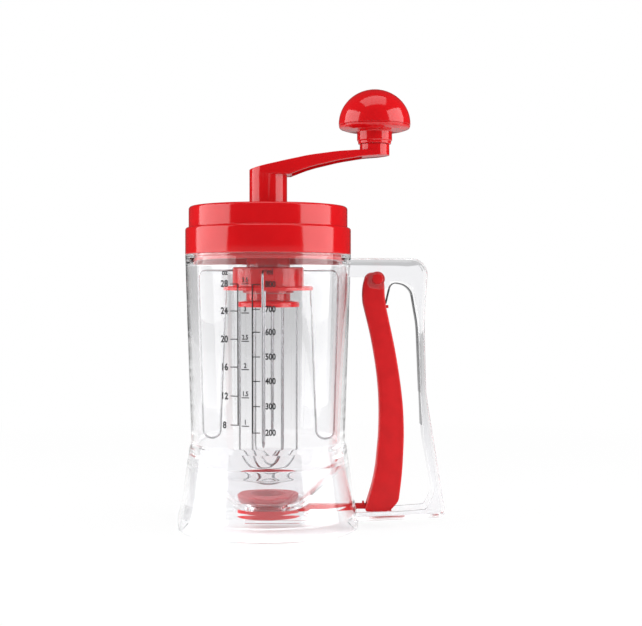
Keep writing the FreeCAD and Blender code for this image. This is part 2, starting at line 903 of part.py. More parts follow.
def trigger_hollow():
    """Channel in the trigger's back, behind its front wall."""
    front = [(c[0] + trigger_front_wall, c[1], c[2]) for c in trigger_outline()[11:]]
    return [
        (trigger_toe_x + toe_wall, trigger_toe_z - 2),
        (90.0, trigger_toe_z - 2),
        (90.0, pivot_z - trigger_boss_r - 9.0),
        (59.4 + trigger_front_wall, pivot_z - trigger_boss_r - 9.0, 2.0),
    ] + front + [(trigger_toe_x + toe_wall, trigger_toe_z + 4.0)]


def make_trigger():
    body = slab(trigger_outline(), trigger_half_width)
    inner_half = trigger_half_width - trigger_side_wall
    body = body.cut(slab(trigger_hollow(), inner_half))
    ledge = block(69.5, 74.2, inner_half + 0.5, 135.5, 135.5 + spring_ledge_height)
    stop = block(69.5, 71.0, inner_half + 0.5, 135.5, pivot_z - trigger_boss_r - 8.5)
    lip_x = rod_head_x + rod_head_length + toe_gap
    catch = block(lip_x, lip_x + toe_wall, inner_half + 0.5, trigger_toe_z, trigger_toe_z + 9.0)
    floor = block(lip_x, 76.0, inner_half + 0.5, trigger_toe_z + 0.2, trigger_toe_z + 2.0)
    body = body.fuse([ledge, stop, catch, floor])
    gate = block(trigger_toe_x - 5, rod_head_x, rod_width / 2 + rod_slot_gap, 0.0, rod_out_z + rod_height + 1.4)
    body = body.cut(gate)
    thrust = handle_half_width - handle_side_wall - 0.3
    body = body.fuse(cross_rod(trigger_boss_r, pivot_x, pivot_z, thrust))
    body = body.cut(cross_rod(pivot_pin_r + pivot_pin_fit, pivot_x, pivot_z, handle_half_width))
    return body.removeSplitter()


def make_trigger_pin():
    end = handle_half_width + pivot_head_height
    pin = cross_rod(pivot_pin_r, pivot_x, pivot_z, end)
    for side in (-1, 1):
        centre = V(pivot_x, side * (handle_half_width + 0.02), pivot_z)
        pin = pin.fuse(Part.makeCylinder(pivot_head_r, pivot_head_height, centre, V(0, side, 0)))
    return pin.removeSplitter()


def make_leaf_spring():
    return strip(spring_line(), spring_thickness, spring_width / 2)


def build():
    parts = {
        "container": make_container(),
        "handle": make_handle(),
        "outlet_seal": make_outlet_seal(),
        "valve_disc": make_valve_disc(),
        "valve_rod": make_valve_rod(),
        "trigger": make_trigger(),
        "trigger_pin": make_trigger_pin(),
        "leaf_spring": make_leaf_spring(),
        "lid": make_lid(),
        "lid_gasket": make_lid_gasket(),
        "gear_carrier": make_gear_carrier(),
        "carrier_screws": make_carrier_screws(),
        "sun_gear": make_sun_gear(),
        "crank_shaft": make_crank_shaft(),
        "crank_arm": make_crank_arm(),
        "knob": make_knob(),
        "knob_pin": make_knob_pin(),
        "ring_drum": make_ring_drum(),
        "drum_cover": make_drum_cover(),
        "beater_flange": make_beater_flange(),
        "whisk_hub": make_whisk_hub(),
        "whisk_disc": make_whisk_disc(),
    }
    for i, (x, y) in enumerate(planet_places()):
        parts["planet_gear_%d" % (i + 1)] = make_planet(x, y)
    for i in range(outer_loops):
        parts["outer_loop_%d" % (i + 1)] = make_outer_loop(i)
    for i in range(whisk_loops):
        parts["whisk_loop_%d" % (i + 1)] = make_whisk_loop(i)
    return parts


def centred(parts):
    """The parts moved so that the origin lies under the middle of the whole object's box."""
    boxes = [shape.BoundBox for shape in parts.values()]
    middle_x = (min(box.XMin for box in boxes) + max(box.XMax for box in boxes)) / 2
    print("barrel axis at x", round(-middle_x, 4))
    for shape in parts.values():
        shape.translate(V(-middle_x, 0, 0))
    return parts


os.makedirs("parts", exist_ok=True)
for name, shape in centred(build()).items():
    box = shape.BoundBox
    volume = round(shape.Volume / 1000, 2)
    print(name, len(shape.Solids), "solids", volume, "cm3", shape.isValid(), round(box.XMin, 1), round(box.XMax, 1))
    shape.exportStep("parts/%s.step" % name)
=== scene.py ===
"""Looks of a crank-mixed pancake batter dispenser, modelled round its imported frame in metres."""
import json
import math

import bpy
from bpy.props import FloatProperty, PointerProperty, StringProperty
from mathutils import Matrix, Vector


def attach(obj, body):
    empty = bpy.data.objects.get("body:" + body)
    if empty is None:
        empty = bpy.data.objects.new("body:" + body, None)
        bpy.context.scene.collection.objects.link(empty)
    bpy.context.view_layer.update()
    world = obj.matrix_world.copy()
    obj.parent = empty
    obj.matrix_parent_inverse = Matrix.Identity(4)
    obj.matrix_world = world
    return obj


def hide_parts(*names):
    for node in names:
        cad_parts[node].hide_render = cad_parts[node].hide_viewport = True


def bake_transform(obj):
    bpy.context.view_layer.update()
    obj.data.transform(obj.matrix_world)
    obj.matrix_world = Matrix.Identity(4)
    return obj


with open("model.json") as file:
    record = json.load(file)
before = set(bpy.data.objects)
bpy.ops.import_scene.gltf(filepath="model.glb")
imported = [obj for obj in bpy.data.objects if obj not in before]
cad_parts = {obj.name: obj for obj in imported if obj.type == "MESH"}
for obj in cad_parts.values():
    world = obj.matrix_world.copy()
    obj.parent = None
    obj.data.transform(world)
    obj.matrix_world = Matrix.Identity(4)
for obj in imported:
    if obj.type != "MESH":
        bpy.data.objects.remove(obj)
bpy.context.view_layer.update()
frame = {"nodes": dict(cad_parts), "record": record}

bl_info = {
    "name": "Batter dispenser",
    "version": (1, 0, 0),
    "blender": (4, 5, 0),
    "location": "3D View > Sidebar > Dispenser",
    "description": "Models the clear jug, red lid, crank, beaters and trigger of a pancake batter dispenser",
    "category": "Object",
}

MM = 0.001
PHOTO_WIDTH = 642
PHOTO_HEIGHT = 626

# Where the barrel's axis stands in the frame. Profiles and outlines are in millimetres from that axis, and
# finish_piece moves each piece into the frame.
AXIS_X = -26.4231

# Places and walls that more than one shape shares
BASE_R = 55.7
RIM_TOP_Z = 8.5
LID_TOP_Z = 198.0
SHAFT_BORE_R = 3.06
SHAFT_TOP_Z = 216.2
ARM_REACH = 65.9
ARM_END_R = 9.2
ARM_END_TOP_Z = 236.6
HANDLE_HALF = 12.0
HANDLE_WALL = 2.2
TRIGGER_HALF = 8.5
TRIGGER_WALL = 2.4
PIVOT_X = 67.2
PIVOT_Z = 153.3
PEG_R = 2.0
ROD_GATE_HALF = 4.1
SPRING_HALF = 6.0

# Short lines that a rounded corner is made of, where a shape doesn't need more
CORNER_SEGMENTS = 6

# Noise seldom leaves this range, so it is spread from here over the values wanted
NOISE_RANGE = {"From Min": 0.3, "From Max": 0.7}

# The share of its full white that the world gives to rays that strike matt faces, and to rays mirrored
# outside and inside the clear plastic
WORLD_DIFFUSE = 0.5
MIRRORED_OUTSIDE = 0.06
MIRRORED_INSIDE = 0.8

# The floor's share of plain white close to the object, far from it, and through the clear plastic
FLOOR_NEAR = 0.85
FLOOR_FAR = 1.0
FLOOR_THROUGH = 0.28

# Light may turn this often, because it turns many times inside the thick clear rims
MOST_TURNS = 32

# The height that the lamps look at, in metres
LAMPS_AIM_Z = 0.13

# The printed scale. A mark is made in front of the barrel and laid back on it. Its place is worked out in
# rounds, each with the depth found before, on a barrel of one mean radius.
PRINT_START_Y = -70.0
PRINT_ROUNDS = 4
PRINT_FIRST_DEPTH = 47.0
PRINT_BARREL_R = 49.0
PRINT_MM_PER_PIXEL = 0.585
PRINT_GAP = 0.03
TICK_HALF = 0.28
UPRIGHT_HALF = 0.36
CAPITAL_SHARE = 0.7
LETTER_WIDTH = 0.8
LETTER_BOLDNESS = 0.035

# Side views as corners (x, z, rounding) in millimetres, the handle and the trigger anticlockwise
HANDLE_OUTLINE = [
    (44.0, 5.0), (56.0, 5.0, 30.0), (109.2, 7.6, 4.0), (97.0, 84.0, 60.0), (96.0, 130.0, 80.0),
    (98.6, 166.0, 10.0), (44.0, 166.0),
]
HANDLE_WINDOW = [
    (39.0, 10.2), (80.0, 11.2), (97.2, 12.6, 2.5), (101.6, 22.0, 3.0), (95.6, 56.0, 40.0),
    (94.2, 76.0, 60.0), (92.6, 128.0, 40.0), (88.6, 152.4, 9.0), (75.4, 152.4, 2.0), (73.4, 147.1, 4.0),
    (61.0, 147.1, 4.0), (61.0, 154.8, 1.0), (39.0, 154.8),
]
TRIGGER_OUTLINE = [
    (59.4, 10.4, 1.6), (74.6, 10.4, 7.0), (80.4, 16.8, 7.0), (82.6, 34.0, 180.0), (84.2, 66.0, 180.0),
    (80.2, 101.0, 340.0), (72.0, 139.5, 60.0), (71.6, 150.5, 5.0), (68.6, 157.3, 3.5), (60.6, 157.3, 4.0),
    (57.2, 144.0, 30.0), (66.0, 108.0, 230.0), (69.6, 70.0, 185.0), (65.9, 31.0, 90.0),
]
SPRING_LINE = [
    (72.7, 138.2), (75.8, 151.6, 4.0), (87.8, 149.2, 9.0), (91.9, 125.0, 60.0), (93.5, 84.0, 60.0),
    (94.5, 63.6),
]
CRANK_TOP_LINE = [
    (-14.0, 220.6), (-10.2, 221.4, 2.0), (11.0, 226.3, 60.0), (25.3, 229.4, 80.0), (43.5, 231.9, 100.0),
    (77.0, 234.0),
]
CRANK_UNDER_LINE = [
    (77.0, 230.2), (59.0, 228.9, 60.0), (43.5, 226.4, 80.0), (25.3, 222.1, 80.0), (13.7, 217.6),
    (-14.0, 217.6),
]
CRANK_POCKET = [
    (14.6, 222.6), (25.3, 226.4, 80.0), (43.5, 229.1, 100.0), (58.0, 230.4), (58.0, 221.0), (14.6, 205.0),
]
BEATER_WIRE_LINE = [
    (20.8, 157.4), (43.6, 157.4, 4.2), (41.0, 53.5, 5.4), (30.0, 53.5, 5.4), (26.3, 145.6),
]


# Sizes that a user may change

def length(name, description, millimetres):
    return FloatProperty(name=name, description=description, default=millimetres * MM,
                         unit="LENGTH", precision=4)


def number(name, description, value):
    return FloatProperty(name=name, description=description, default=value)


def colour(name, description, hex_value):
    return StringProperty(name=name, description=description, default=hex_value)


class JugSizes(bpy.types.PropertyGroup):
    """Sizes of the clear jug and its printed scale"""

    wall: length("Wall", "Thickness of the barrel wall", 2.5)
    skirt_wall: length("Skirt wall", "Thickness of the skirt", 2.4)
    barrel_top_r: length("Barrel top", "Outside radius of the barrel under the lid", 51.2)
    waist_r: length("Waist", "Outside radius where the barrel meets the skirt", 47.4)
    waist_z: length("Waist height", "Height of the waist above the base", 55.0)
    barrel_top_z: length("Barrel height", "Height of the shoulder under the lid", 168.3)
    neck_r: length("Neck", "Outside radius of the neck inside the lid", 49.2)
    floor_z: length("Hopper floor", "Height of the hopper floor", 18.0)
    flange_r: length("Outlet flange", "Radius of the flange under the hopper", 22.2)
    flange_z: length("Outlet flange height", "Height of the underside of the flange", 12.8)
    outlet_bore_r: length("Outlet bore", "Radius of the hole that holds the seal", 13.6)
    ink_height: length("Ink height", "How far the printed scale stands proud", 0.06)


class LidSizes(bpy.types.PropertyGroup):
    """Sizes of the lid, the crank and its knob"""

    lower_r: length("Lower tier", "Radius of the lid's lower tier", 51.2)
    upper_r: length("Upper tier", "Radius of the lid's upper tier", 49.1)
    step_z: length("Step height", "Height of the step between the tiers", 185.0)
    edge_r: length("Edge rounding", "Rounding of the lid's edges", 1.6)
    boss_r: length("Crank boss", "Radius of the upright boss of the crank", 11.7)
    knob_r: length("Knob", "Radius of the mushroom knob", 22.2)


class WireSizes(bpy.types.PropertyGroup):
    """Sizes of the bent wires"""

    beater_wire_r: length("Beater wire", "Radius of the outer beater's wire", 0.6)
    whisk_wire_r: length("Whisk wire", "Radius of the whisk's wire", 0.6)


class Colours(bpy.types.PropertyGroup):
    """Colours of the finishes, as sRGB hex values"""

    red_gloss: colour("Glossy red", "Lid, crank and knob", "CF1016")
    red_satin: colour("Satin red", "Trigger, valve and rod", "CC161B")
    silicone: colour("Seal red", "Silicone seal and gasket", "B8232B")
    ink: colour("Ink", "Printed scale", "1B1B1D")
    nylon: colour("Nylon", "Gears and carrier", "E9E6DC")
    clear: colour("Clear tint", "Tint of the clear plastic", "FBFBFC")
    shade_through: colour("Shade tint", "Tint of lamplight that comes through the clear plastic", "F7F8F9")
    steel_dark: colour("Dark steel", "The darker lines of the steel", "959597")
    steel_light: colour("Light steel", "The lighter lines of the steel", "B1B1B3")
    table_dark: colour("Dark table", "The darker patches of the table", "EFEFEF")
    table_light: colour("Light table", "The lighter patches of the table", "F1F1F1")
    white: colour("White", "The studio behind the object and the lit table", "FFFFFF")


class StageSizes(bpy.types.PropertyGroup):
    """Camera and floor"""

    camera_distance: length("Camera distance", "Distance of the lens from the barrel's axis", 785.0)
    camera_height: length("Camera height", "Height of the lens above the floor", 141.5)
    camera_side: length("Camera side", "How far the lens stands to the right of the axis", 32.7)
    millimetres_per_pixel: number("Scale", "Real millimetres per pixel at the barrel's axis", 0.62)
    horizon_row: number("Horizon row", "Row of the horizon in the photograph's frame", 298.3)


# Small helpers for meshes

def in_mm(metres):
    return metres / MM


def select_nothing():
    if bpy.context.object and bpy.context.object.mode != "OBJECT":
        bpy.ops.object.mode_set(mode="OBJECT")
    bpy.ops.object.select_all(action="DESELECT")


def make_active(piece):
    select_nothing()
    piece.select_set(True)
    bpy.context.view_layer.objects.active = piece


def edit(piece):
    """Opens a piece in edit mode with all of it selected."""
    make_active(piece)
    bpy.ops.object.mode_set(mode="EDIT")
    bpy.ops.mesh.select_mode(type="VERT")
    bpy.ops.mesh.select_all(action="SELECT")


def leave_edit():
    bpy.ops.object.mode_set(mode="OBJECT")


def choose(piece, places, within):
    """Selects, in edit mode, the vertices that lie within a distance of one of the places."""
    bpy.ops.mesh.select_mode(type="VERT")
    bpy.ops.mesh.select_all(action="DESELECT")
    leave_edit()
    for vertex in piece.data.vertices:
        vertex.select = any((vertex.co - place).length < within for place in places)
    bpy.ops.object.mode_set(mode="EDIT")


def draw_line(name, places):
    """A line from place to place, left in edit mode. It starts from a plane merged into one vertex."""
    select_nothing()
    bpy.ops.mesh.primitive_plane_add(size=MM, location=(0, 0, 0))
    piece = bpy.context.object
    piece.name = name
    piece.data.name = name
    edit(piece)
    bpy.ops.mesh.merge(type="CENTER")
    bpy.ops.transform.translate(value=places[0])
    for last, place in zip(places, places[1:]):
        bpy.ops.mesh.extrude_region_move(TRANSFORM_OT_translate={"value": place - last})
    return piece


def round_corners(piece, corners, segments):
    """Bevels the vertex at each (place, radius) of a line, where the radius is over zero."""
    count = len(corners)
    for i, (place, radius) in enumerate(corners):
        if radius <= 0:
            continue
        to_last = (corners[i - 1][0] - place).normalized()
        to_next = (corners[(i + 1) % count][0] - place).normalized()
        half = to_last.angle(to_next) / 2
        choose(piece, [place], 0.01 * MM)
        bpy.ops.mesh.bevel(offset=radius / math.tan(half), offset_type="OFFSET", segments=segments,
                           profile=0.5, affect="VERTICES", clamp_overlap=False)


def profile_points(corners):
    """Corners (x, z) or (x, z, radius) in millimetres, as places in metres in the plane Y = 0."""
    return [(Vector((c[0] * MM, 0, c[1] * MM)), (c[2] if len(c) > 2 else 0.0) * MM) for c in corners]


def close_and_merge():
    bpy.ops.mesh.select_all(action="SELECT")
    bpy.ops.mesh.remove_doubles(threshold=0.002 * MM)
    bpy.ops.mesh.normals_make_consistent(inside=False)


def draw_outline(name, corners, segments):
    """A closed line with rounded corners in the plane Y = 0, left all selected in edit mode."""
    points = profile_points(corners)
    piece = draw_line(name, [place for place, _ in points])
    choose(piece, [points[0][0], points[-1][0]], 0.001 * MM)
    bpy.ops.mesh.edge_face_add()
    round_corners(piece, points, segments)
    bpy.ops.mesh.select_all(action="SELECT")
    return piece


def turned_piece(name, corners, steps=96):
    """A shape turned about the vertical axis from a profile with rounded corners."""
    piece = draw_outline(name, corners, CORNER_SEGMENTS)
    bpy.ops.mesh.spin(steps=steps, angle=2 * math.pi, center=(0, 0, 0), axis=(0, 0, 1))
    close_and_merge()
    leave_edit()
    return piece


def widen(half_width):
    """Extrudes what is selected in the plane Y = 0 to both sides."""
    bpy.ops.transform.translate(value=(0, -half_width * MM, 0))
    bpy.ops.mesh.extrude_region_move(TRANSFORM_OT_translate={"value": (0, 2 * half_width * MM, 0)})


def slab_piece(name, corners, half_width, segments=CORNER_SEGMENTS):
    """A flat outline in the plane Y = 0, thickened to both sides."""
    piece = draw_outline(name, corners, segments)
    bpy.ops.mesh.edge_face_add()
    widen(half_width)
    close_and_merge()
    leave_edit()
    return piece


def shifted(corners, distance):
    """A closed outline moved sideways by a distance, inwards where it is negative."""
    points = [Vector((c[0], c[1])) for c in corners]
    count = len(points)
    moved = []
    for i, corner in enumerate(corners):
        before = (points[i] - points[i - 1]).normalized()
        after = (points[(i + 1) % count] - points[i]).normalized()
        out_before = Vector((before.y, -before.x))
        out_after = Vector((after.y, -after.x))
        mitre = out_before + out_after
        mitre *= 2 * distance / mitre.dot(mitre)
        turn = before.x * after.y - before.y * after.x
        radius = corner[2] if len(corner) > 2 else 0.0
        if radius > 0:
            radius = max(0.0, radius + math.copysign(distance, distance * turn))
        place = points[i] + mitre
        moved.append((place.x, place.y, radius))
    return moved


def bent_wire(name, corners, radius, segments):
    """Round wire along a rounded line in the plane Y = 0."""
    points = profile_points(corners)
    line = draw_line(name, [place for place, _ in points])
    round_corners(line, points, segments)
    make_active(line)
    bpy.ops.object.convert(target="CURVE")
    wire = bpy.context.object
    wire.data.bevel_depth = radius
    wire.data.bevel_resolution = 4
    wire.data.use_fill_caps = True
    bpy.ops.object.convert(target="MESH")
    return bpy.context.object


def cylinder(name, vertices, radius, depth, place, rotation=(0, 0, 0)):
    """A cylinder round a place in millimetres."""
    select_nothing()
    bpy.ops.mesh.primitive_cylinder_add(vertices=vertices, radius=radius * MM, depth=depth * MM,
                                        location=[c * MM for c in place], rotation=rotation)
    piece = bpy.context.object
    piece.name = name
    bpy.ops.object.transform_apply(location=True, rotation=True, scale=True)
    return piece


def pivot_cylinder(name, radius, half_width):
    """A cylinder that lies across the handle, round the trigger's pivot."""
    return cylinder(name, 48, radius, 2 * half_width, (PIVOT_X, 0, PIVOT_Z), (math.pi / 2, 0, 0))


def upright_cylinder(name, radius, x, low, high):
    """A cylinder that stands between two heights."""
    return cylinder(name, 72, radius, high - low, (x, 0, (low + high) / 2))


def block_piece(name, low, high):
    """A box between two corners in millimetres."""
    size = Vector(high) - Vector(low)
    select_nothing()
    bpy.ops.mesh.primitive_cube_add(size=MM, location=(Vector(low) + size / 2) * MM, scale=size)
    piece = bpy.context.object
    piece.name = name
    bpy.ops.object.transform_apply(location=True, rotation=True, scale=True)
    return piece


def join(pieces):
    """Joins pieces into the first of them."""
    make_active(pieces[0])
    for piece in pieces:
        piece.select_set(True)
    bpy.ops.object.join()
    return pieces[0]


def apply_modifier(piece, kind, **settings):
    """Adds a modifier, sets it and applies it."""
    make_active(piece)
    modifier = piece.modifiers.new(kind.lower(), kind)
    for name, value in settings.items():
        setattr(modifier, name, value)
    bpy.ops.object.modifier_apply(modifier=modifier.name)


def combine(piece, other, operation):
    """Adds another mesh to a piece, cuts it out or keeps what both share, and deletes the other."""
    apply_modifier(piece, "BOOLEAN", operation=operation, solver="EXACT", object=other)
    bpy.data.objects.remove(other)


def bevel_edges(piece, width, segments, angle):
    """Rounds every edge sharper than the angle."""
    apply_modifier(piece, "BEVEL", width=width * MM, segments=segments, limit_method="ANGLE",
                   angle_limit=math.radians(angle))


def move_mesh(piece, x=0.0, y=0.0):
    """Moves a piece by millimetres and leaves its object at the origin."""
    make_active(piece)
    bpy.ops.transform.translate(value=(x * MM, y * MM, 0))
    bpy.ops.object.transform_apply(location=True, rotation=False, scale=False)


def dress(piece, look):
    piece.data.materials.clear()
    piece.data.materials.append(finish(look))


def finish_piece(piece, body, replaced, slot, angle=35.0, look=None):
    """Sets a piece in the frame with its slot's finish or another look, ties it to its body and hides the nodes
    it replaces.
    """
    move_mesh(piece, AXIS_X)
    bpy.ops.object.shade_smooth_by_angle(angle=math.radians(angle))
    dress(piece, look or slot)
    if body:
        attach(piece, body)
    if replaced:
        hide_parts(*replaced)


# Materials

def linear(hex_value):
    """An sRGB hex colour as linear red, green, blue and alpha."""
    channels = [int(hex_value[i:i + 2], 16) / 255 for i in (0, 2, 4)]
    return [c / 12.92 if c <= 0.04045 else ((c + 0.055) / 1.055) ** 2.4 for c in channels] + [1.0]


def add_node(tree, kind, place, values=None, links=None, **settings):
    """Adds one node, sets its properties and sockets, and links its inputs."""
    node = tree.nodes.new(kind)
    node.location = place
    for name, value in settings.items():
        setattr(node, name, value)
    for name, value in (values or {}).items():
        node.inputs[name].default_value = value
    for name, source in (links or {}).items():
        tree.links.new(source, node.inputs[name])
    return node


def mottled(tree, light, dark, size_mm):
    """A colour that drifts between two tones over a real distance. Returns colour, noise and coordinates."""
    where = add_node(tree, "ShaderNodeTexCoord", (-800, 200))
    noise = add_node(tree, "ShaderNodeTexNoise", (-600, 200),
                     values={"Scale": 1 / (size_mm * MM), "Detail": 3.0},
                     links={"Vector": where.outputs["Object"]})
    ramp = add_node(tree, "ShaderNodeValToRGB", (-300, 200), links={"Fac": noise.outputs["Fac"]})
    ramp.color_ramp.elements[0].position = 0.35
    ramp.color_ramp.elements[1].position = 0.65
    ramp.color_ramp.elements[0].color = dark
    ramp.color_ramp.elements[1].color = light
    return ramp.outputs["Color"], noise.outputs["Fac"], where.outputs["Object"]


def darker(rgba, share):
    """A colour at a share of its brightness, or brighter where the share is over one."""
    return [c * share for c in rgba[:3]] + [1.0]


def glossy_red_abs(tree, colours):
    """ABS straight from a polished mould: deep colour, sharp highlights, a faint orange peel."""
    base = linear(colours.red_gloss)
    tone, _, where = mottled(tree, base, darker(base, 0.93), 14.0)
    # The mould's polish leaves a ripple about 1.2 mm across and far under a hundredth of a millimetre high
    peel = add_node(tree, "ShaderNodeTexNoise", (-600, -300),
                    values={"Scale": 1 / (1.2 * MM), "Detail": 2.0}, links={"Vector": where})
    bump = add_node(tree, "ShaderNodeBump", (-100, -300),
                    values={"Strength": 0.22, "Distance": 0.012 * MM}, links={"Height": peel.outputs["Fac"]})
    rub = add_node(tree, "ShaderNodeTexNoise", (-600, 0),
                   values={"Scale": 1 / (5.0 * MM), "Detail": 6.0, "Roughness": 0.7}, links={"Vector": where})
    rough = add_node(tree, "ShaderNodeMapRange", (-300, 0),
                     values={**NOISE_RANGE, "To Min": 0.07, "To Max": 0.13},
                     links={"Value": rub.outputs["Fac"]})
    skin = add_node(tree, "ShaderNodeBsdfPrincipled", (300, 0), values={"IOR": 1.53},
                    links={"Base Color": tone, "Roughness": rough.outputs["Result"],
                           "Normal": bump.outputs["Normal"]})
    return skin.outputs["BSDF"]


def satin_red_abs(tree, colours):
    """ABS from a spark-eroded mould: the same red with a fine grain that spreads its highlights."""
    base = linear(colours.red_satin)
    tone, drift, where = mottled(tree, base, darker(base, 0.9), 9.0)
    # The real grain is near 0.1 mm; it is drawn 0.35 mm coarse so that it shows
    grain = add_node(tree, "ShaderNodeTexNoise", (-600, -300),
                     values={"Scale": 1 / (0.35 * MM), "Detail": 4.0}, links={"Vector": where})
    bump = add_node(tree, "ShaderNodeBump", (-100, -300),
                    values={"Strength": 0.35, "Distance": 0.02 * MM}, links={"Height": grain.outputs["Fac"]})
    rough = add_node(tree, "ShaderNodeMapRange", (-300, 0),
                     values={**NOISE_RANGE, "To Min": 0.34, "To Max": 0.46},
                     links={"Value": drift})
    skin = add_node(tree, "ShaderNodeBsdfPrincipled", (300, 0), values={"IOR": 1.53, "Specular IOR Level": 0.2},
                    links={"Base Color": tone, "Roughness": rough.outputs["Result"],
                           "Normal": bump.outputs["Normal"]})
    return skin.outputs["BSDF"]


def red_silicone(tree, colours):
    """Cured silicone rubber: matt, slightly see-through at its edges, with a dusty bloom."""
    base = linear(colours.silicone)
    tone, drift, _ = mottled(tree, base, darker(base, 0.85), 3.0)
    bump = add_node(tree, "ShaderNodeBump", (-100, -300),
                    values={"Strength": 0.3, "Distance": 0.03 * MM}, links={"Height": drift})
    skin = add_node(tree, "ShaderNodeBsdfPrincipled", (300, 0), values={"Roughness": 0.55, "IOR": 1.41,
                            "Subsurface Weight": 0.15, "Subsurface Scale": 2.0 * MM},
                    links={"Base Color": tone, "Normal": bump.outputs["Normal"]})
    return skin.outputs["BSDF"]


def clear_san(tree, colours):
    """SAN, the clear plastic of kitchen jugs: colourless, polished, with faint flow ripples in its skin."""
    where = add_node(tree, "ShaderNodeTexCoord", (-900, -200))
    flow = add_node(tree, "ShaderNodeMapping", (-700, -200),
                    values={"Scale": (1.0, 1.0, 0.25)}, links={"Vector": where.outputs["Object"]})
    # Flow ripples run up the barrel about 9 mm apart
    ripple = add_node(tree, "ShaderNodeTexNoise", (-500, -200),
                      values={"Scale": 1 / (9.0 * MM), "Detail": 2.0}, links={"Vector": flow.outputs["Vector"]})
    bump = add_node(tree, "ShaderNodeBump", (-200, -200),
                    values={"Strength": 0.12, "Distance": 0.05 * MM}, links={"Height": ripple.outputs["Fac"]})
    haze = add_node(tree, "ShaderNodeMapRange", (-200, 100),
                    values={**NOISE_RANGE, "To Min": 0.0, "To Max": 0.035},
                    links={"Value": ripple.outputs["Fac"]})
    body = add_node(tree, "ShaderNodeBsdfPrincipled", (200, 0),
                    values={"Base Color": linear(colours.clear), "IOR": 1.5, "Specular IOR Level": 0.3,
                            "Transmission Weight": 1.0},
                    links={"Roughness": haze.outputs["Result"], "Normal": bump.outputs["Normal"]})
    # Lamps shine through the wall, so what is inside stays lit
    path = add_node(tree, "ShaderNodeLightPath", (0, 400))
    through = add_node(tree, "ShaderNodeBsdfTransparent", (200, 250),
                       values={"Color": linear(colours.shade_through)})
    wall = add_node(tree, "ShaderNodeMixShader", (550, 100), links={0: path.outputs["Is Shadow Ray"],
                           1: body.outputs["BSDF"], 2: through.outputs["BSDF"]})
    return wall.outputs["Shader"]


def lined_stainless(tree, colours, line_mm, roughness):
    """Stainless steel, drawn, rolled or turned: fine lines along its length, drawn as coarse as they show.

    Its tone is darker than bright steel, because the thin wires read as dark lines against a white room.
    """
    where = add_node(tree, "ShaderNodeTexCoord", (-900, 0))
    along = add_node(tree, "ShaderNodeMapping", (-700, 0),
                     values={"Scale": (1.0, 1.0, 0.06)}, links={"Vector": where.outputs["Object"]})
    lines = add_node(tree, "ShaderNodeTexNoise", (-500, 0), values={"Scale": 1 / (line_mm * MM), "Detail": 4.0},
                     links={"Vector": along.outputs["Vector"]})
    rough = add_node(tree, "ShaderNodeMapRange", (-200, 0),
                     values={**NOISE_RANGE, "To Min": roughness * 0.7, "To Max": roughness * 1.3},
                     links={"Value": lines.outputs["Fac"]})
    bump = add_node(tree, "ShaderNodeBump", (-200, -300),
                    values={"Strength": 0.25, "Distance": 0.01 * MM}, links={"Height": lines.outputs["Fac"]})
    tone = add_node(tree, "ShaderNodeMix", (-200, 300), data_type="RGBA",
                    values={6: linear(colours.steel_dark), 7: linear(colours.steel_light)},
                    links={0: lines.outputs["Fac"]})
    skin = add_node(tree, "ShaderNodeBsdfPrincipled", (300, 0), values={"Metallic": 1.0},
                    links={"Base Color": tone.outputs[2], "Roughness": rough.outputs["Result"],
                           "Normal": bump.outputs["Normal"]})
    return skin.outputs["BSDF"]


def natural_nylon(tree, colours):
    """Natural nylon gear stock: waxy off-white, slightly mottled."""
    base = linear(colours.nylon)
    tone, drift, _ = mottled(tree, base, darker(base, 0.88), 2.0)
    bump = add_node(tree, "ShaderNodeBump", (-100, -300),
                    values={"Strength": 0.2, "Distance": 0.02 * MM}, links={"Height": drift})
    skin = add_node(tree, "ShaderNodeBsdfPrincipled", (300, 0), values={"Roughness": 0.42, "IOR": 1.53},
                    links={"Base Color": tone, "Normal": bump.outputs["Normal"]})
    return skin.outputs["BSDF"]


def printed_ink(tree, colours):
    """Pad-printed black ink: thin, slightly uneven in its cover, satin."""
    base = linear(colours.ink)
    tone, _, _ = mottled(tree, darker(base, 1.6), base, 0.6)
    skin = add_node(tree, "ShaderNodeBsdfPrincipled", (300, 0), values={"Roughness": 0.4},
                    links={"Base Color": tone})
    return skin.outputs["BSDF"]


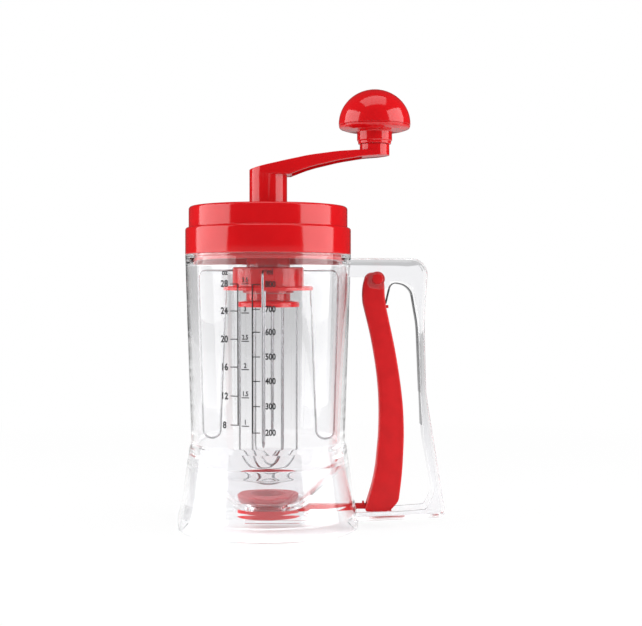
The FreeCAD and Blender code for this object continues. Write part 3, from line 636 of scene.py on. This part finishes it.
def table_paint(tree, colours):
    """A plain pale table that shows white to the camera and keeps the object's soft shadow."""
    where = add_node(tree, "ShaderNodeTexCoord", (-700, 0))
    noise = add_node(tree, "ShaderNodeTexNoise", (-500, 0), values={"Scale": 30.0},
                     links={"Vector": where.outputs["Object"]})
    tone = add_node(tree, "ShaderNodeMix", (-250, 0), data_type="RGBA",
                    values={6: linear(colours.table_dark), 7: linear(colours.table_light)},
                    links={0: noise.outputs["Fac"]})
    matt = add_node(tree, "ShaderNodeBsdfDiffuse", (0, 0), links={"Color": tone.outputs[2]})
    glow = add_node(tree, "ShaderNodeEmission", (0, -200), values={"Color": linear(colours.white)})
    path = add_node(tree, "ShaderNodeLightPath", (-250, 400))
    far = add_node(tree, "ShaderNodeVectorMath", (-250, 600), operation="LENGTH",
                   links={0: where.outputs["Object"]})
    fade = add_node(tree, "ShaderNodeMapRange", (0, 600),
                    values={"From Min": 0.1, "From Max": 0.7, "To Min": FLOOR_NEAR, "To Max": FLOOR_FAR},
                    links={"Value": far.outputs["Value"]})
    through = add_node(tree, "ShaderNodeMath", (180, 250), operation="MULTIPLY", values={1: FLOOR_THROUGH},
                       links={0: path.outputs["Is Transmission Ray"]})
    seen = add_node(tree, "ShaderNodeMath", (180, 400), operation="MAXIMUM",
                    links={0: path.outputs["Is Camera Ray"], 1: through.outputs[0]})
    share = add_node(tree, "ShaderNodeMath", (350, 400), operation="MULTIPLY",
                     links={0: seen.outputs[0], 1: fade.outputs["Result"]})
    both = add_node(tree, "ShaderNodeMixShader", (600, 0),
                    links={0: share.outputs[0], 1: matt.outputs["BSDF"], 2: glow.outputs["Emission"]})
    return both.outputs["Shader"]


# For each slot, and for the ink and the table: the finish's name, its maker and, for the steels, the spacing of
# the lines in millimetres and the roughness
FINISHES = {
    "red_gloss": ("Polished red ABS", glossy_red_abs),
    "red_satin": ("Satin red ABS", satin_red_abs),
    "red_silicone": ("Red silicone rubber", red_silicone),
    "clear_plastic": ("Clear moulded SAN", clear_san),
    "gear_nylon": ("Natural nylon", natural_nylon),
    "stainless_wire": ("Drawn stainless wire", lined_stainless, 0.15, 0.16),
    "spring_steel": ("Rolled spring steel", lined_stainless, 0.4, 0.22),
    "shaft_steel": ("Turned stainless steel", lined_stainless, 0.3, 0.25),
    "ink": ("Pad-printed ink", printed_ink),
    "table": ("Pale table", table_paint),
}


def finish(look):
    """The material of a finish, made the first time that a piece asks for it."""
    name, make, *measures = FINISHES[look]
    material = bpy.data.materials.get(name)
    if material is None:
        material = bpy.data.materials.new(name)
        material.use_nodes = True
        tree = material.node_tree
        tree.nodes.clear()
        surface = make(tree, bpy.context.scene.dispenser_colours, *measures)
        add_node(tree, "ShaderNodeOutputMaterial", (900, 0), links={"Surface": surface})
    return material


# Operators, one for each piece or group of like pieces

class DISPENSER_OT_jug(bpy.types.Operator):
    """Models the clear jug and its handle as one moulding"""

    bl_idname = "dispenser.jug"
    bl_label = "Jug and handle"

    def execute(self, context):
        sizes = context.scene.dispenser_jug
        jug = self.turned_body(sizes)
        for rail in self.rails():
            combine(jug, rail, "UNION")
        handle = self.handle()
        combine(handle, self.envelope(sizes), "DIFFERENCE")
        combine(jug, handle, "UNION")
        slot = block_piece("rod_slot", (44.0, -ROD_GATE_HALF, 11.0), (60.0, ROD_GATE_HALF, 15.0))
        combine(jug, slot, "DIFFERENCE")
        finish_piece(jug, "container", ("container", "handle"), "clear_plastic", 32.0)
        return {"FINISHED"}

    def envelope(self, sizes):
        """The jug filled solid and a little smaller, so that the handle trimmed by it ends inside the wall."""
        top_z = in_mm(sizes.barrel_top_z)
        filled = turned_piece("envelope", [
            (0.0, -5.0), (BASE_R, -5.0), (BASE_R, 0.0), (BASE_R, RIM_TOP_Z, 3.0), (53.3, 17.0, 8.0),
            (48.5, 49.8, 1.2), (in_mm(sizes.waist_r) - 0.4, 53.0, 1.5), (in_mm(sizes.barrel_top_r) - 0.4, top_z),
            (0.0, top_z),
        ], steps=64)
        make_active(filled)
        bpy.ops.transform.resize(value=(0.985, 0.985, 1.0), center_override=(0, 0, 0))
        bpy.ops.object.transform_apply(location=False, rotation=False, scale=True)
        return filled

    def turned_body(self, sizes):
        """Barrel, hopper, outlet flange and skirt, from one closed profile that never meets the axis."""
        wall, skirt_wall = in_mm(sizes.wall), in_mm(sizes.skirt_wall)
        top_r, waist_r = in_mm(sizes.barrel_top_r), in_mm(sizes.waist_r)
        top_z, waist_z = in_mm(sizes.barrel_top_z), in_mm(sizes.waist_z)
        neck_r, bore = in_mm(sizes.neck_r), in_mm(sizes.outlet_bore_r)
        floor_z, flange_z, flange_r = in_mm(sizes.floor_z), in_mm(sizes.flange_z), in_mm(sizes.flange_r)
        neck_wall, neck_z = 2.1, top_z + 12.7
        outlet = [(bore, flange_z, 0.3), (flange_r, flange_z, 0.5), (flange_r, flange_z + 2.2)]
        under_hopper = [(46.5, 36.9, 8.0), (47.1, 41.6, 0.7)]
        skirt_inside = [(53.5 - skirt_wall, 15.0, 4.0), (BASE_R - skirt_wall, RIM_TOP_Z, 2.0),
                        (BASE_R - skirt_wall, 0.0, 0.5)]
        skirt_outside = [(BASE_R, 0.0, 0.8), (BASE_R, 8.0, 3.0), (53.4, 17.0, 8.0), (48.6, 49.8, 1.2)]
        barrel_outside = [(waist_r, waist_z - 2.0, 1.5), (top_r, top_z, 0.5)]
        neck = [(neck_r, top_z, 0.3), (neck_r, neck_z, 0.6), (neck_r - neck_wall, neck_z, 0.6),
                (neck_r - neck_wall, top_z - 1.0, 2.0)]
        inside = [(top_r - 0.2 - wall, top_z - 7.0, 4.0), (43.66, 37.5, 12.0), (22.0, floor_z, 1.5),
                  (bore, floor_z, 0.4)]
        profile = outlet + under_hopper + skirt_inside + skirt_outside + barrel_outside + neck + inside
        return turned_piece("jug", profile, steps=144)

    def rails(self):
        """Two ribs with lips under the hopper floor, which carry the valve disc."""
        side = [(-13.0, 6.6), (26.0, 6.6), (26.0, 9.6), (11.0, 17.0), (-8.0, 17.0), (-13.0, 19.0)]
        for sign in (-1, 1):
            rib = slab_piece("rib", side, 1.0)
            move_mesh(rib, y=sign * 20.3)
            near, far = sorted((sign * 17.1, sign * 19.8))
            combine(rib, block_piece("lip", (-12.99, near, 6.61), (25.99, far, 8.1)), "UNION")
            yield rib

    def handle(self):
        """A channel open towards the barrel, with an ear round the trigger's pivot."""
        body = slab_piece("handle", HANDLE_OUTLINE, HANDLE_HALF, 12)
        bevel_edges(body, 1.5, segments=4, angle=60.0)
        combine(body, slab_piece("window", HANDLE_WINDOW, HANDLE_HALF + 1), "DIFFERENCE")
        channel = slab_piece("channel", shifted(HANDLE_OUTLINE, -2.4), HANDLE_HALF - HANDLE_WALL)
        combine(body, channel, "DIFFERENCE")
        return body


class DISPENSER_OT_lid(bpy.types.Operator):
    """Models the two-tier screw lid with its plug and hub neck"""

    bl_idname = "dispenser.lid"
    bl_label = "Lid"

    def execute(self, context):
        sizes = context.scene.dispenser_lid
        low_r, up_r, step_z = in_mm(sizes.lower_r), in_mm(sizes.upper_r), in_mm(sizes.step_z)
        edge = in_mm(sizes.edge_r)
        skirt_wall, skirt_z = 1.7, 168.4
        under_top_z, bush_r, bush_z = 195.2, 6.5, 189.0
        hub_bore, hub_r, hub_z = 11.0, 13.5, 157.6
        collar_r, collar_z, collar_top_z = 16.3, 160.8, 162.1
        plug_bore, plug_r, plug_z, plug_top_z = 44.8, 46.8, 165.0, 183.0
        tiers = [(low_r - skirt_wall, skirt_z, 0.4), (low_r, skirt_z, 0.5), (low_r, step_z, edge),
                 (up_r, step_z, 0.6), (up_r, LID_TOP_Z, edge + 0.2)]
        bush = [(SHAFT_BORE_R, LID_TOP_Z, 0.2), (SHAFT_BORE_R, bush_z), (bush_r, bush_z, 0.3),
                (bush_r, under_top_z)]
        hub = [(hub_bore, under_top_z), (hub_bore, hub_z), (hub_r, hub_z), (hub_r, collar_z),
               (collar_r, collar_z, 0.3), (collar_r, collar_top_z, 0.3), (hub_r, collar_top_z),
               (hub_r, under_top_z, 0.8)]
        plug = [(plug_bore, under_top_z, 0.8), (plug_bore, plug_z, 0.6), (plug_r, plug_z, 0.6),
                (plug_r, plug_top_z), (low_r - skirt_wall, plug_top_z)]
        lid = turned_piece("lid_shell", tiers + bush + hub + plug, steps=144)
        finish_piece(lid, "lid", ("lid",), "red_gloss")
        return {"FINISHED"}


class DISPENSER_OT_crank(bpy.types.Operator):
    """Models the crank arm, hollow from below, between its boss and its end"""

    bl_idname = "dispenser.crank"
    bl_label = "Crank arm"

    def execute(self, context):
        boss = in_mm(context.scene.dispenser_lid.boss_r)
        half_width, wall = 14.0, 2.4
        arm = slab_piece("arm", CRANK_TOP_LINE + CRANK_UNDER_LINE, half_width, 10)
        combine(arm, self.plan(boss, ARM_END_R), "INTERSECT")
        bevel_edges(arm, 1.6, segments=5, angle=50.0)
        # The boss and the end stay a hair inside the arm's own rounds, so that no faces coincide
        combine(arm, upright_cylinder("boss", boss - 0.02, 0.0, 198.3, 220.0), "UNION")
        combine(arm, upright_cylinder("end", ARM_END_R - 0.02, ARM_REACH, 230.0, ARM_END_TOP_Z), "UNION")
        pocket = slab_piece("pocket", CRANK_POCKET, half_width)
        combine(pocket, self.plan(boss - wall, ARM_END_R - wall), "INTERSECT")
        combine(arm, pocket, "DIFFERENCE")
        bore = upright_cylinder("bore", SHAFT_BORE_R, 0.0, 190.0, SHAFT_TOP_Z)
        combine(arm, bore, "DIFFERENCE")
        finish_piece(arm, "crank", ("crank_arm",), "red_gloss", 30.0)
        return {"FINISHED"}

    def plan(self, boss, end):
        """Two discs taller than the arm, with the straight flanks between them."""
        low, high = 190.0, 245.0
        both = upright_cylinder("plan", boss, 0.0, low, high)
        other = upright_cylinder("plan_end", end, ARM_REACH, low, high)
        join([both, other])
        edit(both)
        bpy.ops.mesh.convex_hull()
        leave_edit()
        return both


class DISPENSER_OT_knob(bpy.types.Operator):
    """Models the mushroom knob with the groove round its rim"""

    bl_idname = "dispenser.knob"
    bl_label = "Knob"

    def execute(self, context):
        wide = in_mm(context.scene.dispenser_lid.knob_r)
        rim_z, rise, steps = 249.6, 21.2, 16
        turns = [math.pi / 2 * k / steps for k in range(steps)]
        crown = [(wide * math.cos(turn), rim_z + rise * math.sin(turn)) for turn in turns]
        knob = turned_piece("knob_cap", [
            (2.6, 236.9), (10.2, 236.9, 0.5), (10.2, 238.6, 0.3), (10.85, 239.2, 0.3), (10.85, 245.0, 1.0),
            (18.0, 245.3, 1.0), (21.5, 246.5, 1.2), (22.1, 248.0, 0.3), (21.6, 248.2, 0.1), (21.6, 248.5, 0.1),
            (wide, 248.7, 0.2),
        ] + crown + [(0.0, rim_z + rise), (0.0, 256.2), (2.6, 256.2)])
        move_mesh(knob, ARM_REACH)
        finish_piece(knob, "knob", ("knob",), "red_gloss")
        return {"FINISHED"}


class DISPENSER_OT_wires(bpy.types.Operator):
    """Bends the four beater wires and the three whisk wires"""

    bl_idname = "dispenser.wires"
    bl_label = "Beater and whisk wires"

    def execute(self, context):
        sizes = context.scene.dispenser_wires
        for i in range(4):
            wire = bent_wire("beater_wire_%d" % (i + 1), BEATER_WIRE_LINE, sizes.beater_wire_r, 12)
            self.turn(wire, -2.0 + 90.0 * i)
            finish_piece(wire, "beater", ("outer_loop_%d" % (i + 1),), "stainless_wire")
        # The whisk's loops cross under one another, each 2.8 mm higher than the last
        half, top = 17.7, 137.6
        for i in range(3):
            low = 27.6 + 2.8 * i
            loop = [(half, top), (half, low, 17.6), (-half, low, 17.6), (-half, top)]
            wire = bent_wire("whisk_wire_%d" % (i + 1), loop, sizes.whisk_wire_r, 24)
            self.turn(wire, 60.0 * i)
            finish_piece(wire, "crank", ("whisk_loop_%d" % (i + 1),), "stainless_wire")
        return {"FINISHED"}

    def turn(self, wire, degrees):
        make_active(wire)
        wire.rotation_euler.z = math.radians(degrees)
        bpy.ops.object.transform_apply(location=False, rotation=True, scale=False)


class DISPENSER_OT_trigger(bpy.types.Operator):
    """Models the trigger, a channel with a boss round its pivot, and its leaf spring"""

    bl_idname = "dispenser.trigger"
    bl_label = "Trigger and leaf spring"

    def execute(self, context):
        body = slab_piece("trigger_body", TRIGGER_OUTLINE, TRIGGER_HALF, 10)
        bevel_edges(body, 1.2, segments=4, angle=60.0)
        inner = TRIGGER_HALF - TRIGGER_WALL
        front = [(x + 2.8, z, radius) for x, z, radius in TRIGGER_OUTLINE[11:]]
        hollow = [(61.6, 8.0), (90.0, 8.0), (90.0, 139.7), (62.2, 139.7, 2.0)] + front + [(61.6, 14.4)]
        combine(body, slab_piece("hollow", hollow, inner), "DIFFERENCE")
        # What lies across the channel runs a little way into its side walls
        across = inner + 0.2
        for name, low_x, low_z, high_x, high_z in (
            ("ledge", 69.5, 135.5, 74.2, 137.3),
            ("stop", 69.6, 137.2, 71.0, 140.2),
            ("catch", 65.65, 10.5, 67.85, 19.4),
            ("toe_floor", 67.7, 10.6, 76.0, 12.4),
        ):
            combine(body, block_piece(name, (low_x, -across, low_z), (high_x, across, high_z)), "UNION")
        gate = block_piece("gate", (54.0, -ROD_GATE_HALF, 5.0), (62.3, ROD_GATE_HALF, 15.5))
        combine(body, gate, "DIFFERENCE")
        combine(body, pivot_cylinder("boss", 4.6, TRIGGER_HALF + 1.0), "UNION")
        combine(body, pivot_cylinder("bore", PEG_R + 0.08, HANDLE_HALF), "DIFFERENCE")
        finish_piece(body, "trigger", ("trigger",), "red_satin", 30.0)
        self.peg()
        self.spring()
        return {"FINISHED"}

    def peg(self):
        """The peg through the pivot, with a round head at each end."""
        peg = pivot_cylinder("pivot_peg", PEG_R, HANDLE_HALF)
        for side in (-1, 1):
            head = pivot_cylinder("peg_head", 3.2, 0.4)
            move_mesh(head, y=side * (HANDLE_HALF + 0.42))
            combine(peg, head, "UNION")
        bevel_edges(peg, 0.3, segments=3, angle=50.0)
        finish_piece(peg, "container", ("trigger_pin",), "red_satin", 30.0)

    def spring(self):
        """The leaf spring, a bent strip that follows the trigger at one end and the handle at the other."""
        corners = profile_points(SPRING_LINE)
        strip = draw_line("spring_leaf", [place for place, _ in corners])
        round_corners(strip, corners, 12)
        bpy.ops.mesh.select_all(action="SELECT")
        widen(SPRING_HALF)
        apply_modifier(strip, "SOLIDIFY", thickness=0.6 * MM, offset=0.0)
        finish_piece(strip, None, ("leaf_spring",), "spring_steel", 30.0)
        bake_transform(strip)


class DISPENSER_OT_scale(bpy.types.Operator):
    """Prints the measuring scale on the front of the barrel"""

    bl_idname = "dispenser.scale"
    bl_label = "Measuring scale"

    def execute(self, context):
        marks = []
        # Ounces: ticks to the left of their line
        for k, row in enumerate((284.0, 311.0, 339.3, 367.2, 396.3, 425.5)):
            marks.append(self.bar(230.5, 238.0, row))
            marks.append(self.words(str(28 - 4 * k), 224.5, row, 6.6))
        marks.append(self.upright(238.0, 284.0, 425.5))
        marks.append(self.words("oz", 225.0, 272.5, 5.6))
        # Cups: underlined numbers in the middle
        for text, row in (("3.5", 284), ("3", 313), ("2.5", 341.3), ("2", 369.7), ("1.5", 398), ("1", 426.5)):
            marks.append(self.bar(241.5, 249.0, row))
            marks.append(self.words(text, 245.2, row - 3.8, 4.6))
        # Millilitres: ticks to the right of their line
        for k, row in enumerate((284.5, 309.3, 332.3, 357.0, 381.5, 406.8, 433.3)):
            marks.append(self.bar(252.5, 260.0, row))
            marks.append(self.words("%d" % (800 - 100 * k), 270.5, row, 6.0))
        marks.append(self.upright(252.5, 284.5, 433.3))
        marks.append(self.words("ml", 270.0, 272.0, 5.6))
        ink = join(marks)
        ink.name = "printed_scale"
        self.lay_on_barrel(ink, context.scene.dispenser_jug)
        finish_piece(ink, "container", (), "clear_plastic", 60.0, look="ink")
        return {"FINISHED"}

    def place(self, column, row):
        """Where a pixel of the photograph's frame meets the front of the barrel, in metres."""
        stage = bpy.context.scene.dispenser_stage
        y = -PRINT_FIRST_DEPTH * MM
        for _ in range(PRINT_ROUNDS):
            scale = stage.millimetres_per_pixel * MM * (stage.camera_distance + y) / stage.camera_distance
            x = stage.camera_side + (column - PHOTO_WIDTH / 2) * scale
            z = stage.camera_height + (stage.horizon_row - row) * scale
            y = -math.sqrt((PRINT_BARREL_R * MM) ** 2 - x ** 2)
        return x, z

    def bar(self, left, right, row):
        x0, _ = self.place(left, row)
        x1, z = self.place(right, row)
        return self.strip(x0, x1, z - TICK_HALF * MM, z + TICK_HALF * MM, 6, 1)

    def upright(self, column, top, bottom):
        _, z1 = self.place(column, top)
        x, z0 = self.place(column, bottom)
        return self.strip(x - UPRIGHT_HALF * MM, x + UPRIGHT_HALF * MM,
                          z0 - TICK_HALF * MM, z1 + TICK_HALF * MM, 1, 40)

    def strip(self, x0, x1, z0, z1, across, up):
        """An upright grid between two corners, in as many cells across and up as given."""
        select_nothing()
        bpy.ops.mesh.primitive_grid_add(x_subdivisions=across, y_subdivisions=up, size=1.0,
                                        location=((x0 + x1) / 2, PRINT_START_Y * MM, (z0 + z1) / 2),
                                        rotation=(math.pi / 2, 0, 0))
        piece = bpy.context.object
        piece.scale = (x1 - x0, z1 - z0, 1)
        bpy.ops.object.transform_apply(location=True, rotation=True, scale=True)
        return piece

    def words(self, text, column, row, pixels_high):
        """Text made mesh, its capitals as high as given in pixels of the photograph."""
        x, z = self.place(column, row)
        select_nothing()
        bpy.ops.object.text_add(location=(x, PRINT_START_Y * MM, z), rotation=(math.pi / 2, 0, 0))
        piece = bpy.context.object
        piece.data.body = text
        piece.data.align_x = "CENTER"
        piece.data.align_y = "CENTER"
        piece.data.size = pixels_high * PRINT_MM_PER_PIXEL * MM / CAPITAL_SHARE
        piece.data.resolution_u = 3
        piece.data.offset = LETTER_BOLDNESS * piece.data.size
        bpy.ops.object.convert(target="MESH")
        piece = bpy.context.object
        piece.scale.x = LETTER_WIDTH
        bpy.ops.object.transform_apply(location=True, rotation=True, scale=True)
        return piece

    def lay_on_barrel(self, ink, sizes):
        """Moves each point straight back on to the barrel's face, then gives the ink its thickness."""
        top_r, top_z, low_z = in_mm(sizes.barrel_top_r), in_mm(sizes.barrel_top_z), 53.0
        face = [(0.0, low_z), (in_mm(sizes.waist_r), low_z), (top_r, top_z), (0.0, top_z)]
        guide = turned_piece("guide", face, steps=144)
        apply_modifier(ink, "SHRINKWRAP", target=guide, wrap_method="PROJECT", use_project_y=True,
                       use_positive_direction=True, use_negative_direction=False, offset=PRINT_GAP * MM)
        edit(ink)
        bpy.ops.mesh.remove_doubles(threshold=0.001 * MM)
        leave_edit()
        apply_modifier(ink, "SOLIDIFY", thickness=sizes.ink_height, offset=1.0)
        bpy.data.objects.remove(guide)


class DISPENSER_OT_dress_frame(bpy.types.Operator):
    """Gives every node that stays from the frame the finish of its slot"""

    bl_idname = "dispenser.dress_frame"
    bl_label = "Finish the framed pieces"

    def execute(self, context):
        slots = {s["node"]: s["material_slot"] for s in frame["record"]["subparts"]}
        for node, piece in frame["nodes"].items():
            dress(piece, slots[node])
        return {"FINISHED"}


class DISPENSER_OT_stage(bpy.types.Operator):
    """Adds the floor, the lamps, the world and the camera"""

    bl_idname = "dispenser.stage"
    bl_label = "Stage"

    def execute(self, context):
        sizes = context.scene.dispenser_stage
        self.add_floor()
        self.add_lamps()
        self.set_world(context)
        self.add_camera(context, sizes)
        context.scene.view_settings.view_transform = "Standard"
        self.set_light_paths(context)
        return {"FINISHED"}

    def add_floor(self):
        select_nothing()
        bpy.ops.mesh.primitive_plane_add(size=8.0, location=(0, 0, 0))
        floor = bpy.context.object
        floor.name = "floor"
        dress(floor, "table")

    def add_lamps(self):
        """Three soft lamps, each with its place and size in metres and its power in watts."""
        lamps = (
            ("left_softbox", (-0.82, -0.10, 0.33), (0.92, 0.9), 7.5),
            ("right_softbox", (0.75, -0.21, 0.33), (0.80, 0.9), 7.0),
            ("top_softbox", (0.0, -0.15, 1.1), (0.9, 0.6), 3.0),
        )
        for name, place, size, power in lamps:
            select_nothing()
            bpy.ops.object.light_add(type="AREA", location=place)
            lamp = bpy.context.object
            lamp.name = name
            lamp.data.shape = "RECTANGLE"
            lamp.data.size, lamp.data.size_y = size
            lamp.data.energy = power
            aim = Vector((AXIS_X * MM, 0, LAMPS_AIM_Z)) - Vector(place)
            lamp.rotation_euler = aim.to_track_quat("-Z", "Y").to_euler()

    def set_world(self, context):
        world = bpy.data.worlds.new("Studio")
        context.scene.world = world
        world.use_nodes = True
        tree = world.node_tree
        tree.nodes.clear()
        path = add_node(tree, "ShaderNodeLightPath", (-900, 0))
        seen = add_node(tree, "ShaderNodeMath", (-200, 0), operation="MAXIMUM",
                        links={0: path.outputs["Is Camera Ray"], 1: path.outputs["Is Transmission Ray"]})
        # A face outside the clear plastic mirrors a dark studio, and one inside it a bright wall
        inside = add_node(tree, "ShaderNodeMath", (-650, -200), operation="GREATER_THAN", values={1: 0.5},
                          links={0: path.outputs["Transmission Depth"]})
        mirrored = add_node(tree, "ShaderNodeMapRange", (-450, -200),
                            values={"To Min": MIRRORED_OUTSIDE, "To Max": MIRRORED_INSIDE},
                            links={"Value": inside.outputs[0]})
        strength = add_node(tree, "ShaderNodeMix", (-250, -200), data_type="FLOAT", values={2: WORLD_DIFFUSE},
                            links={0: path.outputs["Is Glossy Ray"], 3: mirrored.outputs["Result"]})
        white = linear(context.scene.dispenser_colours.white)
        plain = add_node(tree, "ShaderNodeBackground", (0, 100), values={"Color": white},
                         links={"Strength": strength.outputs[0]})
        full = add_node(tree, "ShaderNodeBackground", (0, -100), values={"Color": white, "Strength": 1.0})
        both = add_node(tree, "ShaderNodeMixShader", (250, 0),
                        links={0: seen.outputs[0], 1: plain.outputs["Background"],
                               2: full.outputs["Background"]})
        add_node(tree, "ShaderNodeOutputWorld", (450, 0), links={"Surface": both.outputs["Shader"]})

    def add_camera(self, context, sizes):
        """The photograph's camera: level, with its horizon set by a shift of the lens."""
        select_nothing()
        place = (sizes.camera_side + AXIS_X * MM, -sizes.camera_distance, sizes.camera_height)
        bpy.ops.object.camera_add(location=place, rotation=(math.pi / 2, 0, 0))
        camera = bpy.context.object
        pixels_focal = sizes.camera_distance / (sizes.millimetres_per_pixel * MM)
        camera.data.sensor_width = 36.0
        camera.data.lens = pixels_focal * camera.data.sensor_width / PHOTO_WIDTH
        camera.data.shift_y = (sizes.horizon_row - PHOTO_HEIGHT / 2) / PHOTO_WIDTH
        camera.data.clip_start = 0.01
        context.scene.camera = camera

    def set_light_paths(self, context):
        """Light that turns many times inside the thick clear rims still comes out again."""
        paths = context.scene.cycles
        paths.max_bounces = MOST_TURNS
        paths.glossy_bounces = MOST_TURNS
        paths.transmission_bounces = MOST_TURNS


GROUPS = {
    "dispenser_jug": JugSizes,
    "dispenser_lid": LidSizes,
    "dispenser_wires": WireSizes,
    "dispenser_colours": Colours,
    "dispenser_stage": StageSizes,
}

STEPS = ("dress_frame", "jug", "lid", "crank", "knob", "wires", "trigger", "scale", "stage")


class DISPENSER_PT_panel(bpy.types.Panel):
    """Lists the dispenser's operators"""

    bl_idname = "DISPENSER_PT_panel"
    bl_label = "Batter dispenser"
    bl_space_type = "VIEW_3D"
    bl_region_type = "UI"
    bl_category = "Dispenser"

    def draw(self, context):
        for step in STEPS:
            self.layout.operator("dispenser." + step)


CLASSES = (
    *GROUPS.values(),
    DISPENSER_OT_dress_frame, DISPENSER_OT_jug, DISPENSER_OT_lid, DISPENSER_OT_crank, DISPENSER_OT_knob,
    DISPENSER_OT_wires, DISPENSER_OT_trigger, DISPENSER_OT_scale, DISPENSER_OT_stage,
    DISPENSER_PT_panel,
)


def register():
    for one in CLASSES:
        bpy.utils.register_class(one)
    for name, group in GROUPS.items():
        setattr(bpy.types.Scene, name, PointerProperty(type=group))


def unregister():
    for name in GROUPS:
        delattr(bpy.types.Scene, name)
    for one in reversed(CLASSES):
        bpy.utils.unregister_class(one)


def main():
    register()
    for step in STEPS:
        getattr(bpy.ops.dispenser, step)()
    select_nothing()


if __name__ == "__main__":
    main()
